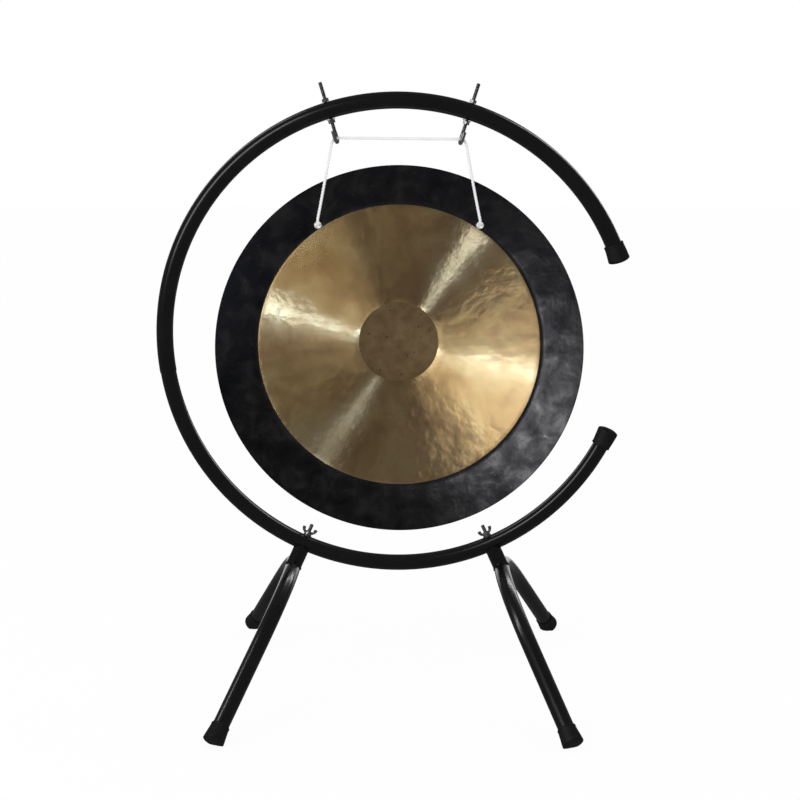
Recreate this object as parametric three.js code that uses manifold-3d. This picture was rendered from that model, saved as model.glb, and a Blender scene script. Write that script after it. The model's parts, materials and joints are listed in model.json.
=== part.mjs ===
// A round steel gong stand with its gong: an open ring in two slipped-together tubes,
// two arched legs held by wing nuts, two hook bolts and a disc gong on a white cord.
// Millimetres, +Z up, the gong faces -Y, the ring lies in the XZ plane and opens to +X.

import * as THREE from 'three';
import { mergeVertices } from 'three/addons/utils/BufferGeometryUtils.js';
import Module from 'manifold-3d';

const wasm = await Module();
wasm.setup();

// Gong
const gongDiameter = 560;
const gongThickness = 2.2;
const gongDome = 14;
const gongLip = 1.1;
const cordHoleDiameter = 11;
const cordHoleInset = 53.8;
const cordHoleAngle = 32.5;

// Ring tubes. The ring's middle line stands clear of the gong all round.
const ringClearance = 73;
const upperTubeDiameter = 25.4;
const lowerTubeDiameter = 24;
const ringTubeWall = 1.2;
const seamAngle = 189;
const upperMouthAngle = 18.5;
const lowerMouthAngle = -23.6;
const spigotLength = 52;
const spigotClearance = 0.4;
const spigotOverlap = 20;
const ringStep = 4.8;
const upperTurn = 0.5;

// Rubber caps on the open ends of the ring
const ringCapLength = 30;
const ringCapWall = 2.4;
const ringCapFlare = 1.2;
const ringCapDome = 5;
const ringCapBase = 4;
const ringCapLip = 1;
const capDomeShares = [[0.1, 0.5], [0.45, 0.86]];

// Legs
const legTubeDiameter = 24;
const legTubeWall = 1.5;
const studAngle = 24.1;
const stubExposed = 21;
const archSplay = 27.5;
const archBendRadius = 240;
const archBendAngle = 47;
const archStraight = 165;
const archSteps = 7;
const stubMouthShare = 0.42;
const plugThickness = 9;
const studProtrusion = 19.4;

// Rubber feet
const footLength = 28;
const footWall = 1.6;
const footFlare = 2;
const footBase = 5;
const footLip = 1;
const footChamfer = 2;
const footWear = 2;

// Threaded rods and nuts
const rodDiameter = 5.8;
const rodHoleClearance = 0.4;
const rodChamfer = 0.8;
const nutAcrossFlats = 10;
const nutHeight = 5;
const nutClearance = 0.3;
const washerDiameter = 13;
const washerThickness = 1.2;

// Hook bolts
const hookAngle = 17.3;
const hookRise = 30.3;
const hookDrop = 29.9;
const hookCordClearance = 0.45;
const hookTurn = 10;
const hookTipLength = 12;
const hookBendSteps = 8;

// Wing nuts
const wingHubDiameter = 11;
const wingHubTopDiameter = 8.6;
const wingHubHeight = 5.5;
const wingSpan = 25;
const wingRise = 11;
const wingThickness = 2.2;
const wingRoot = 4.5;
const wingTip = 5;
const wingCurveSteps = 3;
const wingTurns = { left: 10, right: 25 };

// Hanging cord
const cordDiameter = 4.5;
const cordFall = 128.1;
const knotDiameter = 17;
const knotThickness = 13;
const knotClearance = 0.5;
const knotEnd = 1.4;
const knotShares = [[0, 0.7], [0.12, 0.97], [0.36, 1], [0.5, 0.86], [0.64, 0.98], [0.86, 0.82], [1, 0.4]];
const tailLength = 16;
const tailOffset = 5.2;
const tailDepth = 8;
const tailLean = 35;

// The cord's middle line, from the left knot over both hooks to the right knot, from the ring's centre
const cordPoints = [
  [-118.8, 9, 168.2],
  [-118.8, 4, 168.2],
  [-118.8, 0.3, 168.2],
  [-118.8, -3.7, 169.3],
  [-118.8, -6.6, 172.2],
  [-118.7, -7.7, 176.2],
  [-115.3, -7.4, 194],
  [-107.8, -6.7, 233],
  [-100.4, -5.9, 272],
  [-96.9, -5.6, 290.2],
  [-95.8, -5.5, 293],
  [-92.5, -5.5, 296.2],
  [-88, -5.5, 297.5],
  [-80, -5.5, 297.4],
  [-30, -5.5, 296.9],
  [30, -5.5, 296.4],
  [85, -5.5, 295.9],
  [93.1, -5.5, 295.9],
  [98, -5.5, 294.7],
  [101.4, -5.5, 291.5],
  [102.5, -5.6, 288.6],
  [105.8, -5.9, 271.5],
  [112.8, -6.7, 233],
  [120.5, -7.4, 194],
  [124.1, -7.7, 176.2],
  [124.2, -6.6, 172.2],
  [124.2, -3.7, 169.3],
  [124.2, 0.3, 168.2],
  [124.2, 4, 168.2],
  [124.2, 9, 168.2],
];

// Fits and cuts
const touch = 0.3;
const overrun = 6;
const floorBlock = 120;

// Facets
const tubeSides = 16;
const rodSides = 10;
const boreSides = 12;
const footSides = 20;
const cordSides = 8;
const cordSteps = 76;
const gongSegments = 64;
const gongRings = 5;

// Finishes
const gloss = { color: 0x131314, roughness: 0.18, metalness: 0.0 };
const rubber = { color: 0x1b1b1b, roughness: 0.75, metalness: 0.0 };
const zinc = { color: 0x8b8c8e, roughness: 0.35, metalness: 1.0 };
const bronze = { color: 0x9a7c4c, roughness: 0.4, metalness: 1.0 };
const nylon = { color: 0xe9e9e6, roughness: 0.8, metalness: 0.0 };

const degrees = THREE.MathUtils.degToRad;
const ringRadius = gongDiameter / 2 + ringClearance;
const stand = new THREE.Group();

function add(name, geometry, finish, parent = stand) {
  const mesh = new THREE.Mesh(geometry, new THREE.MeshStandardMaterial(finish));
  mesh.name = name;
  parent.add(mesh);
  return mesh;
}

// Booleans

function toSolid(geometry) {
  let bare = geometry.clone();
  bare.deleteAttribute('normal');
  bare.deleteAttribute('uv');
  bare = mergeVertices(bare, 1e-4);
  return new wasm.Manifold(new wasm.Mesh({
    numProp: 3,
    vertProperties: new Float32Array(bare.attributes.position.array),
    triVerts: new Uint32Array(bare.index.array),
  }));
}

function toGeometry(solid) {
  const mesh = solid.getMesh();
  const geometry = new THREE.BufferGeometry();
  geometry.setAttribute('position', new THREE.BufferAttribute(mesh.vertProperties, 3));
  geometry.setIndex(new THREE.BufferAttribute(mesh.triVerts, 1));
  geometry.computeVertexNormals();
  return geometry;
}

function cut(geometry, ...tools) {
  let solid = toSolid(geometry);
  for (const tool of tools) {
    solid = solid.subtract(toSolid(tool));
  }
  return toGeometry(solid);
}

function join(geometry, ...others) {
  let solid = toSolid(geometry);
  for (const other of others) {
    solid = solid.add(toSolid(other));
  }
  return toGeometry(solid);
}

// A turned form on a bent axis: a lathe form whose height becomes length along the path. The profile
// is a list of [length, radius] from axis to axis. Stations are the lengths at which the path bends.
function turned(path, profile, sides, stations = []) {
  const rows = [profile[0]];
  for (let i = 1; i < profile.length; i += 1) {
    const [s0, r0] = profile[i - 1];
    const [s1, r1] = profile[i];
    const between = stations.filter((s) => s > Math.min(s0, s1) + touch && s < Math.max(s0, s1) - touch);
    between.sort((one, other) => (one - other) * Math.sign(s1 - s0));
    for (const s of between) {
      rows.push([s, r0 + ((r1 - r0) * (s - s0)) / (s1 - s0)]);
    }
    rows.push([s1, r1]);
  }
  const form = new THREE.LatheGeometry(rows.map(([s, r]) => new THREE.Vector2(r, s)), sides);
  const corners = form.attributes.position;
  for (let i = 0; i < corners.count; i += 1) {
    const { point, across, aside } = path(corners.getY(i));
    const corner = point.clone()
      .addScaledVector(across, corners.getX(i))
      .addScaledVector(aside, corners.getZ(i));
    corners.setXYZ(i, corner.x, corner.y, corner.z);
  }
  if (signedVolume(form) < 0) {
    form.index.array.reverse();
  }
  form.computeVertexNormals();
  return form;
}

function signedVolume(geometry) {
  const corner = (i) => new THREE.Vector3().fromBufferAttribute(
    geometry.attributes.position, geometry.index.getX(i));
  let volume = 0;
  for (let i = 0; i < geometry.index.count; i += 3) {
    volume += corner(i).dot(corner(i + 1).cross(corner(i + 2)));
  }
  return volume;
}

// Paths. Each gives a point and two directions square to the path.

const up = new THREE.Vector3(0, 0, 1);
const back = new THREE.Vector3(0, 1, 0);

// Around the ring, by arc length from the +X side, anticlockwise seen from the front
function ringPath(s) {
  const angle = s / ringRadius;
  const across = new THREE.Vector3(Math.cos(angle), 0, Math.sin(angle));
  return { point: across.clone().multiplyScalar(ringRadius), across, aside: back };
}

const arc = (angle) => ringRadius * degrees(angle);
const chord = Math.cos(degrees(ringStep) / 2);
const ringStations = [];
for (let angle = -360; angle < 360; angle += ringStep) {
  ringStations.push(arc(angle));
}

// Straight along a direction from a point
function straightPath(from, along, across) {
  const aside = new THREE.Vector3().crossVectors(along, across);
  return (s) => ({ point: from.clone().addScaledVector(along, s), across, aside });
}

// Half of a leg's arch, by length from its top. It leaves the top along `out`, bends towards
// `down`, then runs straight.
const archBend = degrees(archBendAngle);
const archBendLength = archBendRadius * archBend;
function archPath(top, down, out) {
  const aside = new THREE.Vector3().crossVectors(out, down);
  return (s) => {
    const turn = Math.min(s / archBendRadius, archBend);
    const rest = Math.max(0, s - archBendLength);
    const point = top.clone()
      .addScaledVector(out, archBendRadius * Math.sin(turn) + rest * Math.cos(turn))
      .addScaledVector(down, archBendRadius * (1 - Math.cos(turn)) + rest * Math.sin(turn));
    const across = down.clone().multiplyScalar(Math.cos(turn)).addScaledVector(out, -Math.sin(turn));
    return { point, across, aside };
  };
}

// Solid round bar with square ends, between two lengths along a path
const barProfile = (from, to, radius) => [[from, 0], [from, radius], [to, radius], [to, 0]];

const upperOuter = upperTubeDiameter / 2;
const upperBore = upperOuter - ringTubeWall;
const lowerOuter = lowerTubeDiameter / 2;
const lowerBore = lowerOuter - ringTubeWall;
const legOuter = legTubeDiameter / 2;
const legBore = legOuter - legTubeWall;
const rodRadius = rodDiameter / 2;
const rodHoleRadius = rodRadius + rodHoleClearance;
const nutBore = rodRadius + nutClearance;

// Where the legs, the studs and the hooks reach, from the ring's centre
const archApexRadius = ringRadius + lowerOuter + stubExposed + legOuter;
const studTopRadius = ringRadius - lowerOuter - studProtrusion;
const hookTopRadius = ringRadius + upperOuter + hookRise;
const hookBendCentreRadius = ringRadius - upperOuter - hookDrop;
const hookBendRadius = rodRadius + cordDiameter / 2 + hookCordClearance;

// The arch stands on its feet, and the ring on the arch
const archDrop = archBendRadius * (1 - Math.cos(archBend)) + archStraight * Math.sin(archBend);
const footRadius = legOuter + footWall + footFlare;
const footSlope = Math.sin(archBend) * Math.cos(degrees(archSplay));
const footHeight = (footRadius - footChamfer) * Math.sqrt(1 - footSlope * footSlope) - footWear;
const apexHeight = footHeight + archDrop * Math.cos(degrees(archSplay));
const ringHeight = apexHeight + archApexRadius * Math.cos(degrees(studAngle));

const ring = new THREE.Group();
ring.position.z = ringHeight;
stand.add(ring);

// A group whose +Z points out along a radius of the ring, turned from straight up
function radial(angle) {
  const group = new THREE.Group();
  group.rotation.y = degrees(angle);
  ring.add(group);
  return group;
}

// A rod's hole right through the ring, at an angle from straight up
function rodHole(angle) {
  const hole = new THREE.CylinderGeometry(
    rodHoleRadius, rodHoleRadius, upperTubeDiameter + 2 * overrun, boreSides);
  hole.rotateX(Math.PI / 2);
  hole.translate(0, 0, ringRadius);
  hole.rotateY(degrees(angle));
  return hole;
}

// The two ring tubes. The lower one has a spigot at the seam, inside the upper one's end.
function makeRing() {
  const plugged = ringCapBase + ringCapDome + touch;
  const upperEnd = arc(upperMouthAngle) + plugged;
  const lowerEnd = arc(360 + lowerMouthAngle) - plugged;
  const seam = arc(seamAngle);
  const bent = (profile, sides) => turned(ringPath, profile, sides, ringStations);

  const upper = bent(barProfile(upperEnd, seam, upperOuter), tubeSides);
  const upperInside = bent(barProfile(upperEnd - overrun, seam + overrun, upperBore), boreSides);
  add('ring_upper', cut(
    upper, upperInside, rodHole(upperTurn - hookAngle), rodHole(upperTurn + hookAngle)), gloss, ring);

  const spigotRadius = upperBore - spigotClearance;
  const spigotBore = spigotRadius - ringTubeWall;
  const lower = bent(barProfile(seam + touch, lowerEnd, lowerOuter), tubeSides);
  const spigot = bent(barProfile(seam - spigotLength, seam + spigotOverlap, spigotRadius), boreSides);
  const lowerInside = bent([
    [seam - spigotLength - overrun, 0],
    [seam - spigotLength - overrun, spigotBore],
    [seam, spigotBore],
    [seam + spigotOverlap, lowerBore],
    [lowerEnd + overrun, lowerBore],
    [lowerEnd + overrun, 0],
  ], boreSides);
  add('ring_lower', cut(
    join(lower, spigot), lowerInside, rodHole(180 - studAngle), rodHole(studAngle - 180)), gloss, ring);
}

// A moulded cap over a tube's end: dome, flared skirt, lip. Lengths run from the tip of the dome.
function capProfile(length, tube, wall, flare, dome, base, lip) {
  const bore = tube + touch;
  const mouth = bore + wall;
  const foot = mouth + flare;
  return [
    [0, 0],
    ...capDomeShares.map(([along, out]) => [dome * along, foot * out]),
    [dome, foot],
    [length - lip, mouth],
    [length, mouth - lip],
    [length, bore],
    [dome + base, bore],
    [dome + base, 0],
  ];
}

function makeRingCaps() {
  const ends = [
    ['upper', upperMouthAngle, 1, upperOuter],
    ['lower', lowerMouthAngle, -1, lowerOuter],
  ];
  for (const [name, angle, way, tube] of ends) {
    const profile = capProfile(
      ringCapLength, tube, ringCapWall, ringCapFlare, ringCapDome, ringCapBase, ringCapLip);
    const path = (s) => ringPath(arc(angle) + way * s);
    add(`ring_cap_${name}`, turned(path, profile, tubeSides), rubber, ring);
  }
}

function circlePoints(radius, sides) {
  const points = [];
  for (let k = 0; k < sides; k += 1) {
    const turn = (2 * Math.PI * k) / sides;
    points.push(new THREE.Vector2(radius * Math.cos(turn), radius * Math.sin(turn)));
  }
  return points;
}

function holedPlate(outline, holeRadius, depth) {
  const shape = new THREE.Shape(outline);
  shape.holes.push(new THREE.Path(circlePoints(holeRadius, boreSides).reverse()));
  return new THREE.ExtrudeGeometry(shape, { depth, bevelEnabled: false });
}

const washerGeometry = () => holedPlate(
  circlePoints(washerDiameter / 2, tubeSides), nutBore, washerThickness);
const nutGeometry = () => holedPlate(circlePoints(nutAcrossFlats / Math.sqrt(3), 6), nutBore, nutHeight);

// A J-shaped bolt through the top of the ring, its nuts and washer. The J opens up, its tip in
// front and a little outwards.
function makeHook(name, side) {
  const place = radial(upperTurn + side * hookAngle);
  const forward = new THREE.Vector3(
    side * Math.sin(degrees(hookTurn)), -Math.cos(degrees(hookTurn)), 0);
  const aside = new THREE.Vector3().crossVectors(forward, up);
  const shank = hookTopRadius - hookBendCentreRadius;
  const bend = Math.PI * hookBendRadius;
  const centre = forward.clone().multiplyScalar(hookBendRadius).setZ(hookBendCentreRadius);
  const path = (s) => {
    if (s < shank) {
      return { point: new THREE.Vector3(0, 0, hookTopRadius - s), across: forward, aside };
    }
    const turn = Math.min((s - shank) / hookBendRadius, Math.PI);
    const rest = Math.max(0, s - shank - bend);
    const across = forward.clone().multiplyScalar(Math.cos(turn)).addScaledVector(up, Math.sin(turn));
    const point = centre.clone().addScaledVector(across, -hookBendRadius).addScaledVector(up, rest);
    return { point, across, aside };
  };
  const stations = [];
  for (let k = 0; k <= hookBendSteps; k += 1) {
    stations.push(shank + (bend * k) / hookBendSteps);
  }
  const tip = shank + bend + hookTipLength;
  const profile = [
    [0, 0],
    [0, rodRadius - rodChamfer],
    [rodChamfer, rodRadius],
    [tip - rodChamfer, rodRadius],
    [tip, rodRadius - rodChamfer],
    [tip, 0],
  ];
  add(`hook_bolt_${name}`, turned(path, profile, rodSides, stations), zinc, place);

  const over = ringRadius + upperOuter + touch;
  const under = (ringRadius - upperOuter) * chord - touch - washerThickness;
  const stack = [
    [`hook_top_nut_${name}`, nutGeometry(), over],
    [`hook_washer_${name}`, washerGeometry(), under],
    [`hook_bottom_nut_${name}`, nutGeometry(), under - touch - nutHeight],
  ];
  for (const [node, geometry, height] of stack) {
    add(node, geometry, zinc, place).position.z = height;
  }
}

// A wing nut: a coned hub and two flared ears. It stands on its seat and rises along +Z.
function wingNutGeometry() {
  const hubProfile = [
    [nutBore, 0],
    [wingHubDiameter / 2, 0],
    [wingHubTopDiameter / 2, wingHubHeight],
    [nutBore, wingHubHeight],
    [nutBore, 0],
  ];
  const hub = new THREE.LatheGeometry(hubProfile.map(([x, y]) => new THREE.Vector2(x, y)), boreSides);
  hub.rotateX(Math.PI / 2);
  const root = (nutBore + wingHubTopDiameter / 2) / 2;
  const edge = wingSpan / 2;
  const ears = [1, -1].map((side) => {
    const outline = new THREE.Shape();
    outline.moveTo(side * root, wingThickness / 2);
    outline.lineTo(side * (wingHubDiameter / 2), wingThickness / 2);
    outline.quadraticCurveTo(side * edge, wingRise - wingTip, side * edge, wingRise - wingThickness);
    outline.quadraticCurveTo(side * edge, wingRise, side * (edge - wingTip / 2), wingRise);
    outline.quadraticCurveTo(side * (edge - wingTip), wingRise - wingTip, side * root, wingRoot);
    outline.closePath();
    const ear = new THREE.ExtrudeGeometry(
      outline, { depth: wingThickness, bevelEnabled: false, curveSegments: wingCurveSteps });
    ear.rotateX(Math.PI / 2);
    ear.translate(0, wingThickness / 2, 0);
    return ear;
  });
  return join(hub, ...ears);
}

// One leg: stub, arch, plug, stud and feet, and the wing nut that pulls it onto the ring
function makeLeg(name, side) {
  const place = radial(side * (180 - studAngle));
  const lean = degrees(archSplay - studAngle);
  const down = new THREE.Vector3(-side * Math.sin(lean), 0, Math.cos(lean));
  const apex = new THREE.Vector3(0, 0, archApexRadius);
  const alongStud = straightPath(new THREE.Vector3(), up, new THREE.Vector3(1, 0, 0));
  const archLength = archBendLength + archStraight - footBase - touch;

  const halves = [back.clone().negate(), back].map((out) => archPath(apex, down, out));
  const whole = (s) => {
    const half = halves[s < 0 ? 0 : 1](Math.abs(s));
    return { ...half, aside: half.aside.clone().multiplyScalar(s < 0 ? -1 : 1) };
  };
  const stations = [];
  for (let k = -archSteps; k <= archSteps; k += 1) {
    stations.push((archBendLength * k) / archSteps);
  }
  const bent = (length, radius, sides) => turned(
    whole, barProfile(-length, length, radius), sides, stations);
  const arch = bent(archLength, legOuter, tubeSides);
  add(`leg_arch_${name}`, cut(arch, bent(archLength + overrun, legBore, boreSides)), gloss, place);

  // The ring's tube and the arch, grown by the gap, shape the stub's two mouths
  const toolReach = 2 * legTubeDiameter;
  const ringTool = turned(
    (s) => ringPath(arc(90) + s), barProfile(-toolReach, toolReach, lowerOuter + touch),
    2 * tubeSides, stations);
  const archTool = bent(toolReach, legOuter + touch, 2 * tubeSides);
  const stubTop = ringRadius + stubMouthShare * lowerOuter;
  const stubBottom = archApexRadius - stubMouthShare * legOuter;
  const stub = turned(alongStud, barProfile(stubTop, stubBottom, legOuter), 2 * tubeSides);
  const stubInside = turned(alongStud, barProfile(ringRadius, archApexRadius, legBore), boreSides);
  add(`leg_stub_${name}`, cut(stub, stubInside, ringTool, archTool), gloss, place);

  const plugEnd = ringRadius + lowerOuter - touch + plugThickness;
  const plugRadius = legBore * Math.cos(Math.PI / boreSides) - touch;
  const plug = turned(alongStud, barProfile(ringRadius, plugEnd, plugRadius), boreSides);
  const plugInside = turned(
    alongStud, barProfile(ringRadius - overrun, plugEnd + overrun, nutBore), boreSides);
  add(`stub_plug_${name}`, cut(plug, plugInside, ringTool), gloss, place);

  const stud = [
    [studTopRadius, 0],
    [studTopRadius, rodRadius - rodChamfer],
    [studTopRadius + rodChamfer, rodRadius],
    [plugEnd, rodRadius],
    [plugEnd, 0],
  ];
  add(`leg_stud_${name}`, turned(alongStud, stud, rodSides), zinc, place);

  const seat = (ringRadius - lowerOuter) * chord - touch;
  add(`leg_washer_${name}`, washerGeometry(), zinc, place).position.z = seat - washerThickness;
  const wing = add(`wing_nut_${name}`, wingNutGeometry(), zinc, place);
  wing.position.z = seat - washerThickness - touch;
  wing.rotation.set(Math.PI, 0, degrees(wingTurns[name]));

  // The feet are worn flat where they meet the floor
  place.updateWorldMatrix(true, false);
  const profile = capProfile(footLength, legOuter, footWall, footFlare, footChamfer, footBase, footLip);
  const tipLength = archLength + touch + footBase + footChamfer;
  ['front', 'rear'].forEach((end, i) => {
    const fromTip = (s) => halves[i](tipLength - s);
    const tip = fromTip(0).point.applyMatrix4(place.matrixWorld);
    const floor = new THREE.BoxGeometry(floorBlock, floorBlock, floorBlock);
    floor.translate(tip.x, tip.y, -floorBlock / 2);
    floor.applyMatrix4(place.matrixWorld.clone().invert());
    add(`foot_${end}_${name}`, cut(turned(fromTip, profile, footSides), floor), rubber, place);
  });
}

// The gong hangs with its middle plane under the cord on the hooks
const swingDepth = -hookBendRadius * Math.cos(degrees(hookTurn));
const gongDepth = (r) => swingDepth - gongDome / 2 + gongDome * (2 * r / gongDiameter) ** 2;
const cordHoleRadius = gongDiameter / 2 - cordHoleInset;
const cordHoleSide = cordHoleRadius * Math.sin(degrees(cordHoleAngle));
const cordHoleHeight = cordHoleRadius * Math.cos(degrees(cordHoleAngle));
const gongX = hookBendCentreRadius * Math.sin(degrees(upperTurn));
const gongZ = hookBendCentreRadius * Math.cos(degrees(hookAngle)) - cordFall - cordHoleHeight;

// A thin spun disc, domed to the front, with two holes for the cord
function makeGong() {
  const radius = gongDiameter / 2;
  const front = [];
  const rear = [];
  for (let k = 0; k <= gongRings; k += 1) {
    const r = (radius - gongLip) * (k / gongRings);
    front.push(new THREE.Vector2(r, gongDepth(r) - gongThickness / 2));
    rear.push(new THREE.Vector2(r, gongDepth(r) + gongThickness / 2));
  }
  const edge = new THREE.Vector2(radius, gongDepth(radius));
  const disc = new THREE.LatheGeometry([...front, edge, ...rear.reverse()], gongSegments);
  const holes = [-1, 1].map((side) => {
    const hole = new THREE.CylinderGeometry(
      cordHoleDiameter / 2, cordHoleDiameter / 2, gongDome + 2 * overrun, boreSides);
    hole.translate(side * cordHoleSide, gongDepth(cordHoleRadius), cordHoleHeight);
    return hole;
  });
  add('gong_disc', cut(disc, ...holes), bronze, ring).position.set(gongX, 0, gongZ);
}

// The cord and a stopper knot on each end, behind the gong
function makeCord() {
  const curve = new THREE.CatmullRomCurve3(cordPoints.map((p) => new THREE.Vector3(...p)));
  const cord = new THREE.ExtrudeGeometry(
    new THREE.Shape(circlePoints(cordDiameter / 2, cordSides)),
    { steps: cordSteps, bevelEnabled: false, extrudePath: curve });
  add('hanging_cord', cord, nylon, ring);

  const knotEdge = cordHoleRadius + (knotDiameter / 2) * knotShares[0][1];
  const face = gongDepth(knotEdge) + gongThickness / 2 + touch;
  const bore = cordDiameter / 2 + knotClearance;
  const boreDepth = knotThickness - knotEnd;
  const profile = [
    [boreDepth, 0],
    [boreDepth, bore],
    [0, bore],
    ...knotShares.map(([along, out]) => [knotThickness * along, (knotDiameter / 2) * out]),
    [knotThickness, 0],
  ];
  for (const [name, side] of [['left', -1], ['right', 1]]) {
    const seat = new THREE.Vector3(gongX + side * cordHoleSide, face, gongZ + cordHoleHeight);
    const path = straightPath(seat, back, up);
    const lean = degrees(tailLean);
    const along = new THREE.Vector3(side * Math.sin(lean), Math.cos(lean), 0);
    const start = seat.clone().add(new THREE.Vector3(side * tailOffset, tailDepth, 0));
    const tail = straightPath(start, along, up);
    add(`knot_${name}`, join(
      turned(path, profile, boreSides), turned(tail, barProfile(0, tailLength, cordDiameter / 2), cordSides),
    ), nylon, ring);
  }
}

makeRing();
makeRingCaps();
makeHook('left', -1);
makeHook('right', 1);
makeLeg('left', -1);
makeLeg('right', 1);
makeGong();
makeCord();

// The origin is the middle of the stand's box, on the floor
const extent = new THREE.Box3().setFromObject(stand, true);
stand.position.x = -(extent.min.x + extent.max.x) / 2;

export default stand;
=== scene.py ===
import json
import math

import bmesh
import bpy
import numpy as np
from mathutils import Matrix, Vector, noise


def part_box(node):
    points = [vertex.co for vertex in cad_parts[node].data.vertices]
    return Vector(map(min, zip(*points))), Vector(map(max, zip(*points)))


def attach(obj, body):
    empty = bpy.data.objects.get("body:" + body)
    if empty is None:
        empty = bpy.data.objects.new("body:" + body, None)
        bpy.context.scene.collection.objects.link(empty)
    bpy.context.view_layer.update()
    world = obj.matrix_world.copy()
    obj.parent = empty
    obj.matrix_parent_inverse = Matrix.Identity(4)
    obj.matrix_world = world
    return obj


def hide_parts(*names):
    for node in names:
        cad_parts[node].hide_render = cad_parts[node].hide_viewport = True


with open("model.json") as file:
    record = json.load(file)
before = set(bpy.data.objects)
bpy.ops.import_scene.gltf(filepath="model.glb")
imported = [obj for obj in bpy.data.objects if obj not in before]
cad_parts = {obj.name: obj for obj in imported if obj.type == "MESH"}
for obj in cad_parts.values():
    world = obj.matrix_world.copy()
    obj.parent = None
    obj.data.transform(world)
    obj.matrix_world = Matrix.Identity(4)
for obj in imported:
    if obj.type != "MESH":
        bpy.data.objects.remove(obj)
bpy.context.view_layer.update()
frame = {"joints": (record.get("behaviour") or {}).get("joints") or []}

# The view
# The object is looked at from the front, a little from above and from the right, with a long lens.
# Lengths are metres, and MM turns a size in millimetres into them.
MM = 0.001
camera_place = (66.1 * MM, -2704.6 * MM, 912.8 * MM)
camera_pitch = math.radians(9.745)
camera_turn = math.radians(1.132)
camera_lens = 81
camera_film = 36

camera = bpy.data.objects.new("camera", bpy.data.cameras.new("camera"))
bpy.context.scene.collection.objects.link(camera)
camera.location = camera_place
camera.rotation_euler = (math.pi / 2 - camera_pitch, 0, camera_turn)
camera.data.lens = camera_lens
camera.data.sensor_width = camera_film
bpy.context.scene.camera = camera
bpy.context.scene.view_settings.view_transform = "Standard"


# The hanging cord
# White three-strand twisted nylon cord, 4.5 mm thick. It runs from a stopper knot behind the gong
# through a hole, over both hooks and back through the other hole to its second knot.
joints = {joint["name"]: joint for joint in frame["joints"]}
ring_centre = np.array(joints["ring_slip"]["pos_m"])
cord_diameter = 4.5 * MM
cord_sides = 24
cord_step = 0.8 * MM
cord_crease = 60
strand_count = 3
strand_pitch = 15 * MM
strand_floor_share = 0.72
cord_route = [
    (-0.1188, 0.009, 0.1682),
    (-0.1188, 0.004, 0.1682),
    (-0.1188, 0.0003, 0.1682),
    (-0.1188, -0.0037, 0.1693),
    (-0.1188, -0.0066, 0.1722),
    (-0.1187, -0.0077, 0.1762),
    (-0.1153, -0.0074, 0.194),
    (-0.1078, -0.0067, 0.233),
    (-0.1004, -0.0059, 0.272),
    (-0.0969, -0.0056, 0.2902),
    (-0.0958, -0.0055, 0.293),
    (-0.0925, -0.0055, 0.2962),
    (-0.088, -0.0055, 0.2975),
    (-0.08, -0.0055, 0.2974),
    (-0.03, -0.0055, 0.2969),
    (0.03, -0.0055, 0.2964),
    (0.085, -0.0055, 0.2959),
    (0.0931, -0.0055, 0.2959),
    (0.098, -0.0055, 0.2947),
    (0.1014, -0.0055, 0.2915),
    (0.1025, -0.0056, 0.2886),
    (0.1058, -0.0059, 0.2715),
    (0.1128, -0.0067, 0.233),
    (0.1205, -0.0074, 0.194),
    (0.1241, -0.0077, 0.1762),
    (0.1242, -0.0066, 0.1722),
    (0.1242, -0.0037, 0.1693),
    (0.1242, 0.0003, 0.1682),
    (0.1242, 0.004, 0.1682),
    (0.1242, 0.009, 0.1682),
]


def smooth_line(route, steps=24):
    """Points close together on a centripetal Catmull-Rom curve through the route."""
    route = np.array(route, float)
    route = np.vstack([2 * route[0] - route[1], route, 2 * route[-1] - route[-2]])
    line = []
    for i in range(1, len(route) - 2):
        p = route[i - 1:i + 3]
        gaps = np.sqrt(np.linalg.norm(np.diff(p, axis=0), axis=1))
        t = np.concatenate([[0], np.cumsum(gaps)])
        for u in np.linspace(t[1], t[2], steps, endpoint=False):
            a = [((t[k + 1] - u) * p[k] + (u - t[k]) * p[k + 1]) / (t[k + 1] - t[k]) for k in range(3)]
            b = [((t[k + 2] - u) * a[k] + (u - t[k]) * a[k + 1]) / (t[k + 2] - t[k]) for k in range(2)]
            line.append(((t[2] - u) * b[0] + (u - t[1]) * b[1]) / (t[2] - t[1]))
    line.append(route[-2])
    return np.array(line)


def path_along(line, closed=False):
    """A path that follows a line of points, with two directions square to it that never twist. It
    takes lengths, and gives their places on the line and both directions there."""
    slant = (0.3, 0.2, 0.9)
    line = np.array(line, float)
    if closed:
        line = np.vstack([line, line[:1]])
    lengths = np.concatenate([[0], np.cumsum(np.linalg.norm(np.diff(line, axis=0), axis=1))])
    tangents = np.gradient(line, lengths, axis=0)
    if closed:
        tangents[0] = tangents[-1] = line[1] - line[-2]
    tangents /= np.linalg.norm(tangents, axis=1)[:, None]
    across = [np.cross(tangents[0], slant)]
    for tangent in tangents[1:]:
        across.append(across[-1] - np.dot(across[-1], tangent) * tangent)
    across = np.array([v / np.linalg.norm(v) for v in across])

    def path(s):
        at = [np.stack([np.interp(s, lengths, column) for column in values.T], 1)
              for values in (line, across, tangents)]
        one = at[1] / np.linalg.norm(at[1], axis=1)[:, None]
        other = np.cross(at[2], one)
        return at[0], one, other / np.linalg.norm(other, axis=1)[:, None]

    return path, lengths[-1]


def make_piece(name, points, faces, crease=38):
    """A mesh object with its faces pointing out, smooth but for edges sharper than the crease."""
    points = np.array(points, float)
    fans = np.array([(face[0], face[i], face[i + 1])
                     for face in faces for i in range(1, len(face) - 1)])
    a, b, c = (points[fans[:, i]] for i in range(3))
    if np.sum(a * np.cross(b, c)) < 0:
        faces = [face[::-1] for face in faces]
    mesh = bpy.data.meshes.new(name)
    mesh.from_pydata(points.tolist(), [], faces)
    mesh.shade_smooth()
    mesh.set_sharp_from_angle(angle=math.radians(crease))
    piece = bpy.data.objects.new(name, mesh)
    bpy.context.scene.collection.objects.link(piece)
    return piece


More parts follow.
